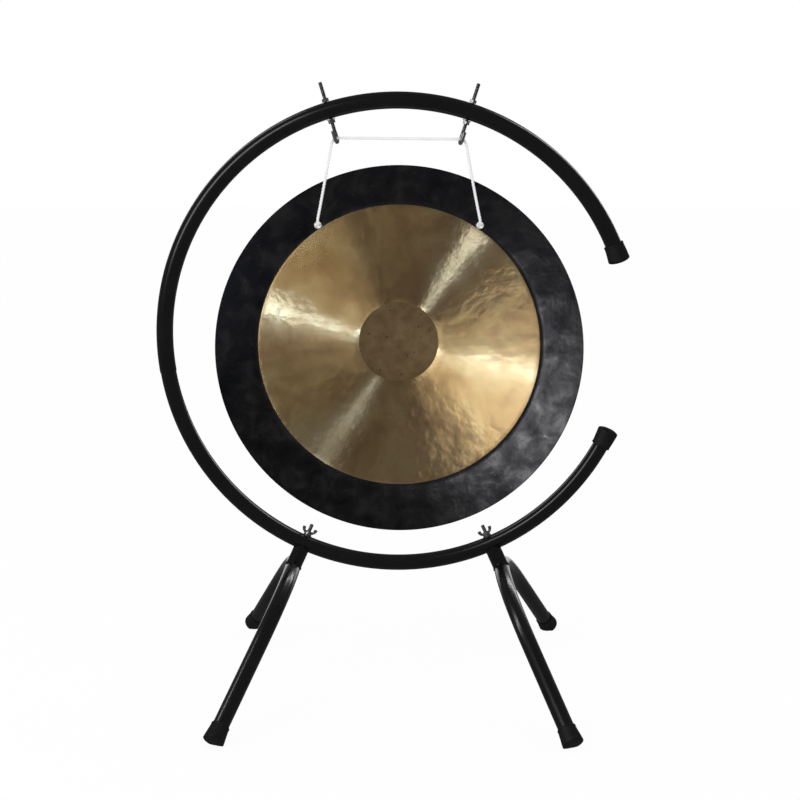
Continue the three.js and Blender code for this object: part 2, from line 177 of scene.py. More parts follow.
def wrap(rows, sides):
    """The faces between rows of points, each row a ring, with the last row joined to the first."""
    return [(i * sides + k, i * sides + (k + 1) % sides,
             (i + 1) % rows * sides + (k + 1) % sides, (i + 1) % rows * sides + k)
            for i in range(rows) for k in range(sides)]


def turned(name, path, profile, sides=48, step=None, relief=None, crease=38):
    """A turned form on a path. The profile is a list of (length, radius), and one that ends where it
    starts is a tube. Any other ends in a point at both ends. Relief gives the height added to the
    radius at a length and a turn."""
    rows = [profile[0]]
    for start, end in zip(profile, profile[1:]):
        parts = max(1, math.ceil(abs(end[0] - start[0]) / step)) if step else 1
        rows += [np.array(start) + (np.array(end) - start) * k / parts for k in range(1, parts + 1)]
    rows = np.array(rows, float)
    tube = np.allclose(rows[0], rows[-1])
    if tube:
        rows = rows[:-1]
    lengths, radii = rows.T
    centre, across, aside = path(lengths)
    turn = 2 * np.pi * np.arange(sides) / sides
    out = across[:, None] * np.cos(turn)[None, :, None] + aside[:, None] * np.sin(turn)[None, :, None]
    reach = np.repeat(radii[:, None], sides, axis=1)
    if relief:
        reach = reach + relief(lengths[:, None], turn[None, :], reach)
    points = (centre[:, None] + reach[:, :, None] * out).reshape(-1, 3)
    faces = wrap(len(rows), sides)
    if not tube:
        top = [(0, *face[2:]) for face in faces[:sides]]
        bottom = [(*face[:2], (len(rows) - 1) * sides) for face in faces[-2 * sides:-sides]]
        faces = top + faces[sides:-2 * sides] + bottom
    used = sorted({corner for face in faces for corner in face})
    place = {corner: n for n, corner in enumerate(used)}
    faces = [tuple(place[corner] for corner in face) for face in faces]
    return make_piece(name, points[used], faces, crease)


def bar(start, end, radius):
    """The profile of a plain round bar."""
    return [(start, 0), (start, radius), (end, radius), (end, 0)]


def hex_colour(code):
    """An sRGB hex code as linear light, with an alpha of 1."""
    parts = [int(code[i:i + 2], 16) / 255 for i in (1, 3, 5)]
    return tuple(c / 12.92 if c < 0.04045 else ((c + 0.055) / 1.055) ** 2.4 for c in parts) + (1,)


def set_inputs(tree, node, inputs):
    """Gives a node its inputs. Each is a value or the socket that is linked to it."""
    for socket, source in inputs.items():
        if isinstance(source, bpy.types.NodeSocket):
            tree.links.new(source, node.inputs[socket])
        else:
            node.inputs[socket].default_value = source


def add_node(tree, kind, inputs=None, stops=(), **settings):
    """A node with its inputs and settings. Stops are a ramp's, as pairs of a place and a hex code."""
    made = tree.nodes.new(kind)
    for setting, value in settings.items():
        setattr(made, setting, value)
    set_inputs(tree, made, inputs or {})
    for _ in stops[2:]:
        made.color_ramp.elements.new(0.5)
    for number, (at, code) in enumerate(stops):
        element = made.color_ramp.elements[number]
        element.position, element.color = at, hex_colour(code)
    return made


def new_material(name):
    """A material with its node tree, its shader and the place on the piece that patterns go by."""
    material = bpy.data.materials.new(name)
    material.use_nodes = True
    tree = material.node_tree
    tree.nodes.clear()
    shader = add_node(tree, "ShaderNodeBsdfPrincipled")
    add_node(tree, "ShaderNodeOutputMaterial", {"Surface": shader.outputs["BSDF"]})
    place = add_node(tree, "ShaderNodeTexCoord").outputs["Object"]
    return material, tree, shader, place


def put_on(piece, body, slot, material, *nodes):
    """Gives a piece its material, the body that it moves with and the nodes that it stands for."""
    piece.data.materials.append(material)
    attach(piece, body)
    if nodes:
        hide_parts(*nodes)
    return piece


def twisted_nylon():
    """Nylon filament twisted in strands: white, soft sheen across the fibres, darker in the lay.
    The filaments are too fine to show, so they are drawn this wide."""
    filament_width = 0.5 * MM
    filament_height = 0.15 * MM
    soiled_patch = 18 * MM
    material, tree, shader, place = new_material("twisted_nylon")
    fibres = add_node(tree, "ShaderNodeTexNoise", {
        "Vector": place, "Scale": 1 / filament_width, "Detail": 3.0, "Roughness": 0.6})
    soil = add_node(tree, "ShaderNodeTexNoise", {
        "Vector": place, "Scale": 1 / soiled_patch, "Detail": 2.0})
    tone = add_node(tree, "ShaderNodeMix", {
        "Factor": 0.4, "A": fibres.outputs["Fac"], "B": soil.outputs["Fac"]})
    colour = add_node(tree, "ShaderNodeValToRGB", {"Fac": tone.outputs["Result"]}, stops=(
        (0.3, "#e4e4e4"), (0.7, "#f8f8f6"))).outputs["Color"]
    bump = add_node(tree, "ShaderNodeBump", {
        "Strength": 0.35, "Distance": filament_height, "Height": fibres.outputs["Fac"]})
    set_inputs(tree, shader, {
        "Base Color": colour, "Normal": bump.outputs["Normal"], "Roughness": 0.55, "IOR": 1.53,
        "Sheen Weight": 0.25, "Sheen Roughness": 0.4})
    return material


def strands(pitch):
    """The grooves between the strands of a rope, which turn once round it in a pitch."""
    share = 1 / (1 + 1 / math.sin(math.pi / strand_count))

    def relief(length, turn, reach):
        lay = (turn - 2 * np.pi * length / pitch) % (2 * np.pi / strand_count)
        lay = lay - np.pi / strand_count
        inner = (1 - share) * np.cos(lay) + np.sqrt(
            np.maximum(0, share ** 2 - ((1 - share) * np.sin(lay)) ** 2))
        return reach * (np.maximum(inner, strand_floor_share) - 1)

    return relief


white_nylon = twisted_nylon()
cord_line = smooth_line(cord_route) + ring_centre
cord_path, cord_length = path_along(cord_line)
cord = turned("gong_cord", cord_path, bar(0, cord_length, cord_diameter / 2), sides=cord_sides,
              step=cord_step, relief=strands(strand_pitch), crease=cord_crease)
put_on(cord, "gong", "white_cord", white_nylon, "hanging_cord")


# The stopper knots
# Each end of the cord is tied in an overhand knot drawn tight against the back of the gong, with
# a short tail whose end is melted to a bead so that it doesn't fray.
knot_diameter = 17 * MM
knot_thickness = 13 * MM
tail_length = 16 * MM
tail_lean = math.radians(35)
tail_offset = 5.2 * MM
tail_depth = 8 * MM
tail_bead = 1.2 * MM
tail_bead_shares = ((-1, 0.5), (0, 0.47), (0.5, 0.4), (0.9167, 0.2))
knot_steps = 160
knot_tube_share = 0.36
both_sides = (("left", -1), ("right", 1))


def knot_line(width, depth):
    """The closed line of an overhand knot, its loops lying round the Y axis."""
    reach = width / 2 - cord_diameter / 2
    tube = knot_tube_share * reach
    turn = np.linspace(0, 2 * np.pi, knot_steps, endpoint=False)
    out = reach - tube + tube * np.cos(3 * turn)
    rise = (depth / 2 - cord_diameter / 2) * np.sin(3 * turn)
    return np.stack([out * np.cos(2 * turn), rise, out * np.sin(2 * turn)], 1)


knots = []
for side_name, side in both_sides:
    low, high = (np.array(corner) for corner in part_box(f"knot_{side_name}"))
    inner_edge = high[0] if side < 0 else low[0]
    seat = np.array([inner_edge + side * knot_diameter / 2, low[1], (low[2] + high[2]) / 2])
    middle = seat + (0, knot_thickness / 2, 0)
    path, length = path_along(knot_line(knot_diameter, knot_thickness) + middle, closed=True)
    turns = round(length / strand_pitch)
    rows = [(length * k / knot_steps, cord_diameter / 2) for k in range(knot_steps)]
    loops = turned(f"knot_loops_{side_name}", path, rows + rows[:1], sides=cord_sides,
                   relief=strands(length / turns), crease=cord_crease)
    put_on(loops, "gong", "white_cord", white_nylon, f"knot_{side_name}")
    along = np.array([side * math.sin(tail_lean), math.cos(tail_lean), 0])
    start = seat + (side * tail_offset, tail_depth, 0)
    path, length = path_along([start + along * t for t in np.linspace(0, tail_length, 8)])
    bead = [(tail_length + (share - 1) * tail_bead, width * cord_diameter)
            for share, width in tail_bead_shares]
    tail = turned(f"knot_tail_{side_name}", path,
                  [(0, 0), (0, cord_diameter / 2), *bead, (tail_length, 0)],
                  sides=cord_sides, step=cord_step, relief=strands(strand_pitch), crease=cord_crease)
    put_on(tail, "gong", "white_cord", white_nylon)
    knots += [loops, tail]


# The gong
# One bronze disc, hammered out and left dark with its oxide, then turned bright on a lathe between
# a broad rim band and a middle boss. It is slightly domed to the front and has no lip.
gong_thickness = 2.2 * MM
gong_dome = 14 * MM
gong_edge = 1.1 * MM
boss_radius = 60.5 * MM
boss_rise = 16 * MM
bright_radius = 214 * MM
bright_rise = 8 * MM
skin_height = 0.35 * MM
hole_diameter = 11 * MM
hole_radius = 226.2 * MM
hole_angle = math.radians(32.5)
hammer_height = 0.16 * MM
hammer_width = 34 * MM
hammer_layer = 3
gong_segments = 360
drill_reach = 20 * MM

gong_low, gong_high = (np.array(corner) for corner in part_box("gong_disc"))
gong_centre = (gong_low + gong_high) / 2
gong_radius = (gong_high[0] - gong_low[0]) / 2
gong_front = gong_low[1] + gong_thickness / 2


def gong_depth(x, z):
    """The disc's middle layer, from front to back, at a place on it."""
    return gong_front + gong_dome * ((x / gong_radius) ** 2 + (z / gong_radius) ** 2)


def hammering(x, z, side):
    """Shallow dents, long round the disc, that the hammer left under the lathe's cut."""
    place = (x / hammer_width, side * hammer_layer, z / hammer_width)
    return hammer_height * noise.noise(Vector(place))


def gong_rings():
    """Radii of the mesh rings with how high their centres lie, from the boss's to the rim's."""
    step = 4.2 * MM
    edge = 0.5 * MM
    radii = list(np.arange(step, boss_radius - edge, step)) + [boss_radius - edge, boss_radius + edge]
    radii += list(np.arange(boss_radius + 2 * step, bright_radius - step, step))
    radii += [bright_radius - edge, bright_radius + edge]
    radii += list(np.arange(bright_radius + 2 * step, gong_radius - step, step))
    radii += [gong_radius - gong_edge]
    rises = np.interp(radii, [0, boss_radius, bright_radius, gong_radius],
                      [boss_rise, boss_rise, bright_rise, 0])
    return list(zip(radii, rises))


def gong_mesh():
    """Points and faces of both sides and the edge, with each face's zone: bright, band or boss."""
    turn = 2 * np.pi * np.arange(gong_segments) / gong_segments
    points, faces, zones = [], [], []
    rings = gong_rings()
    for side in (-1, 1):
        base = len(points)
        x, z = 0, boss_rise
        half = gong_thickness / 2
        points.append((x, gong_depth(x, z) + side * half, z))
        for radius, rise in rings:
            proud = 0 if boss_radius < radius < bright_radius else skin_height
            for a in turn:
                x, z = radius * math.cos(a), rise + radius * math.sin(a)
                swell = hammering(x, z, side)
                points.append((x, gong_depth(x, z) + side * (half - skin_height + proud) + swell, z))
        for i, (radius, _) in enumerate(rings):
            zone = 0 if boss_radius < radius <= bright_radius else 1 if radius > bright_radius else 2
            for k in range(gong_segments):
                m = (k + 1) % gong_segments
                outer = base + 1 + i * gong_segments
                inner = outer - gong_segments
                side_out = (outer + k, outer + m)
                face = (inner + k, *side_out, inner + m) if i else (base, *side_out)
                faces.append(face if side < 0 else face[::-1])
                zones.append(zone)
    front_edge = 1 + (len(rings) - 1) * gong_segments
    back_edge = front_edge + len(points) // 2
    rim = len(points)
    for a in turn:
        x, z = gong_radius * math.cos(a), gong_radius * math.sin(a)
        points.append((x, gong_depth(x, z), z))
    for k in range(gong_segments):
        m = (k + 1) % gong_segments
        faces.append((front_edge + k, rim + k, rim + m, front_edge + m))
        faces.append((rim + k, back_edge + k, back_edge + m, rim + m))
        zones += [1, 1]
    return np.array(points) + (gong_centre[0], 0, gong_centre[2]), faces, zones


def drill_holes(piece, radius, *axes):
    """Drills round holes right through a piece. Each axis is a point and a direction."""
    for point, along in axes:
        along = np.array(along) / np.linalg.norm(along)
        path, length = path_along([np.array(point) + along * t for t in (-drill_reach, 0, drill_reach)])
        drill = turned("drill", path, bar(0, length, radius), sides=48)
        hole = piece.modifiers.new("hole", "BOOLEAN")
        hole.object = drill
        with bpy.context.temp_override(object=piece, active_object=piece):
            bpy.ops.object.modifier_apply(modifier=hole.name)
        bpy.data.objects.remove(drill)


def lay_round(mesh, centre):
    """A map with the radius along U and the turn along V, so that the lathe's marks can follow it."""
    layer = mesh.uv_layers.new(name="lathe")
    for face in mesh.polygons:
        corners = [mesh.vertices[i].co for i in face.vertices]
        middle = sum(corners, Vector()) / len(corners)
        away = math.atan2(middle.z - centre[2], middle.x - centre[0])
        for loop, corner in zip(face.loop_indices, corners):
            turn = math.atan2(corner.z - centre[2], corner.x - centre[0])
            turn += 2 * math.pi * round((away - turn) / (2 * math.pi))
            radius = math.hypot(corner.x - centre[0], corner.z - centre[2])
            layer.data[loop].uv = (radius, turn / (2 * math.pi))


def along_the_cut(tree, across, along):
    """Noise drawn out round the disc, by a size across the lathe's cut and a share of a turn."""
    place = add_node(tree, "ShaderNodeUVMap", uv_map="lathe").outputs["UV"]
    drawn = add_node(tree, "ShaderNodeMapping", {"Vector": place, "Scale": (1 / across, 1 / along, 1)})
    marks = add_node(tree, "ShaderNodeTexNoise", {
        "Vector": drawn.outputs["Vector"], "Scale": 1.0, "Detail": 3.0, "Roughness": 0.6})
    return marks.outputs["Fac"]


def turned_bronze():
    """Tin bronze cut bright on a lathe: warm metal with fine rings, so each light draws a streak
    that runs through the middle. Thin heat tints go from straw gold to brown. The tool's own
    rings are too fine to show, so they are drawn this wide."""
    tint_patch = 95 * MM
    cut_width = 2.2 * MM
    cut_turn_share = 0.35
    dent_width = 18 * MM
    dent_height = 0.6 * MM
    material, tree, shader, place = new_material("turned_bronze")
    tint = add_node(tree, "ShaderNodeTexNoise", {
        "Vector": place, "Scale": 1 / tint_patch, "Detail": 4.0, "Roughness": 0.6, "Distortion": 0.6})
    rings = along_the_cut(tree, cut_width, cut_turn_share)
    tone = add_node(tree, "ShaderNodeMix", {"Factor": 0.08, "A": tint.outputs["Fac"], "B": rings})
    colour = add_node(tree, "ShaderNodeValToRGB", {"Fac": tone.outputs["Result"]}, stops=(
        (0.36, "#b48e5c"), (0.5, "#c8a46c"), (0.66, "#dabd85"))).outputs["Color"]
    rough = add_node(tree, "ShaderNodeMapRange", {
        "Value": rings, "From Min": 0.3, "From Max": 0.7, "To Min": 0.238, "To Max": 0.252})
    dents = add_node(tree, "ShaderNodeTexNoise", {
        "Vector": place, "Scale": 1 / dent_width, "Detail": 3.0, "Roughness": 0.5})
    wave = add_node(tree, "ShaderNodeBump", {
        "Strength": 1.0, "Distance": dent_height, "Height": dents.outputs["Fac"]})
    grain = add_node(tree, "ShaderNodeTangent", direction_type="UV_MAP", uv_map="lathe")
    set_inputs(tree, shader, {
        "Base Color": colour, "Roughness": rough.outputs["Result"],
        "Normal": wave.outputs["Normal"], "Tangent": grain.outputs["Tangent"], "Metallic": 1.0,
        "Anisotropic": 1.0, "Coat Weight": 0.5, "Coat Roughness": 0.25})
    return material


def oxide_band():
    """The hammered bronze's own oxide scale, so thin that it mirrors like very dark metal: clouded
    black to grey by how thick it grew, with paler specks where it is rubbed."""
    cloud_width = 38 * MM
    speck_spacing = 5 * MM
    dent_width = 12 * MM
    dent_height = 0.5 * MM
    material, tree, shader, place = new_material("oxide_band")
    clouds = add_node(tree, "ShaderNodeTexNoise", {
        "Vector": place, "Scale": 1 / cloud_width, "Detail": 6.0, "Roughness": 0.62, "Distortion": 0.4})
    specks = add_node(tree, "ShaderNodeTexNoise", {
        "Vector": place, "Scale": 1 / speck_spacing, "Detail": 2.0, "Roughness": 0.5})
    rubbed = add_node(tree, "ShaderNodeMapRange", {
        "Value": specks.outputs["Fac"], "From Min": 0.72, "From Max": 0.76})
    scale = add_node(tree, "ShaderNodeValToRGB", {"Fac": clouds.outputs["Fac"]}, stops=(
        (0.36, "#292828"), (0.5, "#3d3a3a"), (0.64, "#5a5655"))).outputs["Color"]
    colour = add_node(tree, "ShaderNodeMix", {
        "Factor": rubbed.outputs["Result"], "A": scale, "B": hex_colour("#767478")}, data_type="RGBA")
    rough = add_node(tree, "ShaderNodeMapRange", {
        "Value": clouds.outputs["Fac"], "From Min": 0.38, "From Max": 0.64,
        "To Min": 0.25, "To Max": 0.16})
    dents = add_node(tree, "ShaderNodeTexNoise", {
        "Vector": place, "Scale": 1 / dent_width, "Detail": 4.0, "Roughness": 0.6})
    bump = add_node(tree, "ShaderNodeBump", {
        "Strength": 0.45, "Distance": dent_height, "Height": dents.outputs["Fac"]})
    set_inputs(tree, shader, {
        "Base Color": colour.outputs[2], "Roughness": rough.outputs["Result"],
        "Normal": bump.outputs["Normal"], "Metallic": 1.0})
    return material


def oxide_boss():
    """The middle that the lathe left: thin brown oxide over hammered bronze, with small dark pits."""
    cloud_width = 22 * MM
    cloud_height = 0.4 * MM
    pit_spacing = 11 * MM
    material, tree, shader, place = new_material("oxide_boss")
    clouds = add_node(tree, "ShaderNodeTexNoise", {
        "Vector": place, "Scale": 1 / cloud_width, "Detail": 5.0, "Roughness": 0.6})
    pits = add_node(tree, "ShaderNodeTexVoronoi", {
        "Vector": place, "Scale": 1 / pit_spacing, "Randomness": 1.0})
    pitted = add_node(tree, "ShaderNodeMapRange", {
        "Value": pits.outputs["Distance"], "From Min": 0.06, "From Max": 0.16})
    brown = add_node(tree, "ShaderNodeValToRGB", {"Fac": clouds.outputs["Fac"]}, stops=(
        (0.36, "#664e30"), (0.66, "#7c613e"))).outputs["Color"]
    colour = add_node(tree, "ShaderNodeMix", {
        "Factor": pitted.outputs["Result"], "A": hex_colour("#40321f"), "B": brown}, data_type="RGBA")
    bump = add_node(tree, "ShaderNodeBump", {
        "Strength": 0.5, "Distance": cloud_height, "Height": clouds.outputs["Fac"]})
    set_inputs(tree, shader, {
        "Base Color": colour.outputs[2], "Normal": bump.outputs["Normal"], "Metallic": 1.0,
        "Roughness": 0.5})
    return material


points, faces, zones = gong_mesh()
gong = make_piece("gong", points, faces, crease=30)
gong.data.polygons.foreach_set("material_index", zones)
hole_out, hole_up = hole_radius * math.sin(hole_angle), hole_radius * math.cos(hole_angle)
hole_places = [gong_centre + (side * hole_out, 0, hole_up) for _, side in both_sides]
drill_holes(gong, hole_diameter / 2, *((place, (0, 1, 0)) for place in hole_places))
lay_round(gong.data, gong_centre + (0, 0, bright_rise))
put_on(gong, "gong", "gong_bronze", turned_bronze(), "gong_disc")
gong.data.materials.append(oxide_band())
gong.data.materials.append(oxide_boss())


# The ring tubes
# Two bent steel tubes, black stove enamelled. The upper one is 25.4 mm and slips over the swaged
# end of the 24 mm lower one at a seam low on the left side. Both are drilled for their bolts.
ring_radius = 353 * MM
upper_radius = 12.7 * MM
lower_radius = 12 * MM
tube_wall = 1.2 * MM
seam_angle = math.radians(189)
upper_mouth = math.radians(18.5)
lower_mouth = math.radians(360 - 23.6)
tube_end_inset = 9.3 * MM
spigot_length = 52 * MM
spigot_slack = 0.4 * MM
neck_length = 7 * MM
hook_angle = math.radians(17.3)
upper_turn = math.radians(0.5)
stud_angle = math.radians(24.1)
bolt_hole_radius = 3.3 * MM
seam_gap = 0.3 * MM
tube_edge = 0.3 * MM
tube_sides = 56
bend_step = 4 * MM
corner_share = 0.45
rearward = np.array((0.0, 1.0, 0.0))


def ring_path(s):
    """Round the ring by arc length, from the +X side anticlockwise as seen from the front."""
    turn = s / ring_radius
    across = np.stack([np.cos(turn), 0 * turn, np.sin(turn)], 1)
    return ring_centre + ring_radius * across, across, np.tile(rearward, (len(turn), 1))


def rounded(profile, radius, parts=4):
    """A profile with its corners turned to curves, which take at most a set share of a side. One
    that ends where it starts is curved all round."""
    profile = np.array(profile, float)
    loop = np.allclose(profile[0], profile[-1])
    corners = profile[:-1] if loop else profile[1:-1]
    before = np.roll(corners, 1, axis=0) if loop else profile[:-2]
    after = np.roll(corners, -1, axis=0) if loop else profile[2:]
    line = []
    for corner, last, following in zip(corners, before, after):
        start, end = (
            corner + (other - corner) * min(radius / np.linalg.norm(other - corner), corner_share)
            for other in (last, following))
        for k in range(parts + 1):
            t = k / parts
            line.append((1 - t) ** 2 * start + 2 * t * (1 - t) * corner + t ** 2 * end)
    ends = (line[:1],) if loop else (profile[-1:],)
    return np.vstack(([] if loop else [profile[:1]]) + [line, *ends])


def pipe(start, end, bore, radius, edge):
    """The profile of a pipe's wall, its edges rounded."""
    return rounded([(start, bore), (start, radius), (end, radius), (end, bore), (start, bore)], edge)


def radial(angle):
    """The directions out from the ring's centre and along the ring, at an angle from straight up."""
    out = np.array([math.sin(angle), 0, math.cos(angle)])
    side = np.array([math.cos(angle), 0, -math.sin(angle)])
    return out, side


def stove_enamel():
    """Black stove enamel on steel tube: a deep even gloss with the faint ripple of a sprayed coat."""
    ripple_width = 30 * MM
    ripple_height = 0.1 * MM
    dusty_patch = 60 * MM
    material, tree, shader, place = new_material("stove_enamel")
    ripple = add_node(tree, "ShaderNodeTexNoise", {
        "Vector": place, "Scale": 1 / ripple_width, "Detail": 1.0, "Roughness": 0.5})
    dust = add_node(tree, "ShaderNodeTexNoise", {
        "Vector": place, "Scale": 1 / dusty_patch, "Detail": 5.0, "Roughness": 0.6})
    colour = add_node(tree, "ShaderNodeValToRGB", {"Fac": dust.outputs["Fac"]}, stops=(
        (0.35, "#060607"), (0.7, "#0b0b0c"))).outputs["Color"]
    rough = add_node(tree, "ShaderNodeMapRange", {
        "Value": dust.outputs["Fac"], "From Min": 0.3, "From Max": 0.7, "To Min": 0.19, "To Max": 0.25})
    bump = add_node(tree, "ShaderNodeBump", {
        "Strength": 0.1, "Distance": ripple_height, "Height": ripple.outputs["Fac"]})
    set_inputs(tree, shader, {
        "Base Color": colour, "Roughness": rough.outputs["Result"],
        "Normal": bump.outputs["Normal"], "IOR": 1.52})
    return material


enamel = stove_enamel()
seam = seam_angle * ring_radius
upper_start = upper_mouth * ring_radius + tube_end_inset
lower_end = lower_mouth * ring_radius - tube_end_inset
upper_bore = upper_radius - tube_wall
upper_tube = turned("ring_tube_upper", ring_path,
                    pipe(upper_start, seam, upper_bore, upper_radius, tube_edge),
                    sides=tube_sides, step=bend_step)
hook_axes = [radial(upper_turn + side * hook_angle)[0] for _, side in both_sides]
drill_holes(upper_tube, bolt_hole_radius,
            *((ring_centre + ring_radius * axis, axis) for axis in hook_axes))
put_on(upper_tube, "upper_ring", "black_gloss", enamel, "ring_upper")

lower_bore = lower_radius - tube_wall
spigot_radius = upper_bore - spigot_slack
spigot_bore = spigot_radius - tube_wall
spigot_end = seam - spigot_length
neck = seam + seam_gap
lower_tube = turned("ring_tube_lower", ring_path, rounded([
    (spigot_end, spigot_bore), (spigot_end, spigot_radius), (neck, spigot_radius), (neck, lower_radius),
    (lower_end, lower_radius), (lower_end, lower_bore), (neck + neck_length, lower_bore),
    (neck, spigot_bore), (spigot_end, spigot_bore)], tube_edge), sides=tube_sides, step=bend_step)
stud_axes = [radial(side * (math.pi - stud_angle))[0] for _, side in both_sides]
drill_holes(lower_tube, bolt_hole_radius,
            *((ring_centre + ring_radius * axis, axis) for axis in stud_axes))
put_on(lower_tube, "frame", "black_gloss", enamel, "ring_lower")


# The end caps of the ring
# Moulded black rubber caps pushed over the two open ends: a thick lip where they stop on the tube,
# a skirt that widens a little, and a shallow domed end with a crisp edge.
cap_length = 30 * MM
cap_wall = 2.4 * MM
cap_flare = 1.2 * MM
cap_dome = 5 * MM
cap_base = 4 * MM
cap_fit = 0.3 * MM
cap_edge = 0.8 * MM
cap_shoulder = 1.32
cap_steps = 12
lip_width = 2.4 * MM
lip_height = 0.5 * MM
lip_bevel = 1.1 * MM


def cap_profile(length, tube, wall, flare, dome, base):
    """A cap from the middle of its end, round the shoulder to the lip and back inside. Lengths run
    from the end."""
    bore = tube + cap_fit
    mouth = bore + wall
    widest = mouth + flare
    end = [(dome * (1 - math.cos(a)), widest * math.sin(a))
           for a in np.linspace(0, cap_shoulder, cap_steps)]
    skirt = rounded([
        end[-1], (dome, widest), (length - lip_width - lip_height, mouth - lip_height),
        (length - lip_width, mouth), (length - lip_bevel, mouth), (length, mouth - lip_bevel),
        (length, bore), (dome + base, bore), (dome + base, 0)], cap_edge)
    return [(0, 0)] + end[1:-1] + [tuple(row) for row in skirt]


def moulded_rubber():
    """Black natural rubber from a mould: dull, a little grey where it is rubbed, finely grained. The
    grain is too fine to show, so it is drawn this wide."""
    grain_width = 0.9 * MM
    grain_height = 0.12 * MM
    rubbed_patch = 14 * MM
    material, tree, shader, place = new_material("moulded_rubber")
    grain = add_node(tree, "ShaderNodeTexNoise", {
        "Vector": place, "Scale": 1 / grain_width, "Detail": 3.0, "Roughness": 0.6})
    bloom = add_node(tree, "ShaderNodeTexNoise", {
        "Vector": place, "Scale": 1 / rubbed_patch, "Detail": 4.0, "Roughness": 0.6})
    colour = add_node(tree, "ShaderNodeValToRGB", {"Fac": bloom.outputs["Fac"]}, stops=(
        (0.35, "#080808"), (0.7, "#101010"))).outputs["Color"]
    bump = add_node(tree, "ShaderNodeBump", {
        "Strength": 0.3, "Distance": grain_height, "Height": grain.outputs["Fac"]})
    set_inputs(tree, shader, {
        "Base Color": colour, "Normal": bump.outputs["Normal"], "Roughness": 0.58, "IOR": 1.5})
    return material


rubber = moulded_rubber()
ring_ends = (("upper", upper_mouth, 1, upper_radius, "upper_ring"),
             ("lower", lower_mouth, -1, lower_radius, "frame"))
for end_name, angle, way, tube, body in ring_ends:
    def from_end(s, angle=angle, way=way):
        return ring_path(angle * ring_radius + way * s)

    cap = turned(f"end_cap_{end_name}", from_end,
                 cap_profile(cap_length, tube, cap_wall, cap_flare, cap_dome, cap_base), step=bend_step)
    put_on(cap, body, "black_rubber", rubber, f"ring_cap_{end_name}")


# The hook bolts
# Zinc plated M6 rods threaded down to the bend and turned up into a J at the bottom. Each goes
# through the top of the ring, with a nut above the tube and a washer and a nut below it.
rod_radius = 2.9 * MM
rod_chamfer = 0.8 * MM
thread_pitch = 1 * MM
thread_depth = 0.55 * MM
thread_lead = 0.3 * MM
thread_slope = 1.35
thread_root = 0.15
rod_sides = 32
rod_crease = 60
hook_top = 396 * MM
hook_bend_place = 310.4 * MM
hook_bend = 5.6 * MM
hook_turn = math.radians(10)
hook_tip = 12 * MM
hook_plain = 9 * MM
tip_shares = (0.25, 0.55)
nut_flats = 10 * MM
nut_height = 5 * MM
nut_bore = 3.05 * MM
nut_bore_bevel = 0.5 * MM
nut_bevel = math.radians(30)
nut_face_share = 0.97
nut_sides = 72
washer_radius = 6.5 * MM
washer_thickness = 1.2 * MM
washer_edge = 0.35 * MM
washer_sides = 64
seat_gap = 0.3 * MM
ring_chord = math.cos(math.radians(2.4))


def threads(start, end):
    """The V thread on a rod between two lengths, which runs out at both ends."""
    def relief(length, turn, reach):
        phase = (length / thread_pitch - turn / (2 * np.pi)) % 1
        height = np.clip(thread_slope * np.abs(2 * phase - 1) - thread_root, 0, 1)
        begun = np.clip((length - start) / thread_pitch, 0, 1)
        left = np.clip((end - length) / thread_pitch, 0, 1)
        return -thread_depth * (1 - height) * (begun * left) * (reach > rod_radius - thread_depth)

    return relief


def plated_steel():
    """Zinc plated steel: grey, softly bright, clouded where the plating dulled, dark in the threads."""
    cloud_width = 4 * MM
    cloud_height = 0.05 * MM
    material, tree, shader, place = new_material("zinc_plated_steel")
    cloud = add_node(tree, "ShaderNodeTexNoise", {
        "Vector": place, "Scale": 1 / cloud_width, "Detail": 5.0, "Roughness": 0.65})
    colour = add_node(tree, "ShaderNodeValToRGB", {"Fac": cloud.outputs["Fac"]}, stops=(
        (0.35, "#8c8d8f"), (0.65, "#bcbdbf"))).outputs["Color"]
    rough = add_node(tree, "ShaderNodeMapRange", {
        "Value": cloud.outputs["Fac"], "From Min": 0.3, "From Max": 0.7,
        "To Min": 0.42, "To Max": 0.26})
    bump = add_node(tree, "ShaderNodeBump", {
        "Strength": 0.2, "Distance": cloud_height, "Height": cloud.outputs["Fac"]})
    set_inputs(tree, shader, {
        "Base Color": colour, "Roughness": rough.outputs["Result"],
        "Normal": bump.outputs["Normal"], "Metallic": 1.0})
    return material


def straight(angle):
    """A path out along a radius of the ring, from its centre."""
    out, side = radial(angle)

    def path(s):
        ones = np.ones((len(s), 1))
        return ring_centre + np.outer(s, out), ones * side, ones * rearward

    return path


def hook_path(angle, side):
    """A path down a hook's shank from its top, round the bend to the front and up its tip, with the
    lengths of the shank and of the whole."""
    out, across = radial(angle)
    forward = side * math.sin(hook_turn) * across - math.cos(hook_turn) * rearward
    aside = np.cross(forward, out)
    shank = hook_top - hook_bend_place

    def path(s):
        turn = np.clip((s - shank) / hook_bend, 0, math.pi)
        rest = np.maximum(0, s - shank - math.pi * hook_bend)
        inward = np.outer(np.cos(turn), forward) + np.outer(np.sin(turn), out)
        bend = hook_bend * forward + hook_bend_place * out - hook_bend * inward
        line = np.where((s < shank)[:, None], np.outer(hook_top - s, out), bend + np.outer(rest, out))
        return ring_centre + line, inward, np.tile(aside, (len(s), 1))

    return path, shank, shank + math.pi * hook_bend + hook_tip


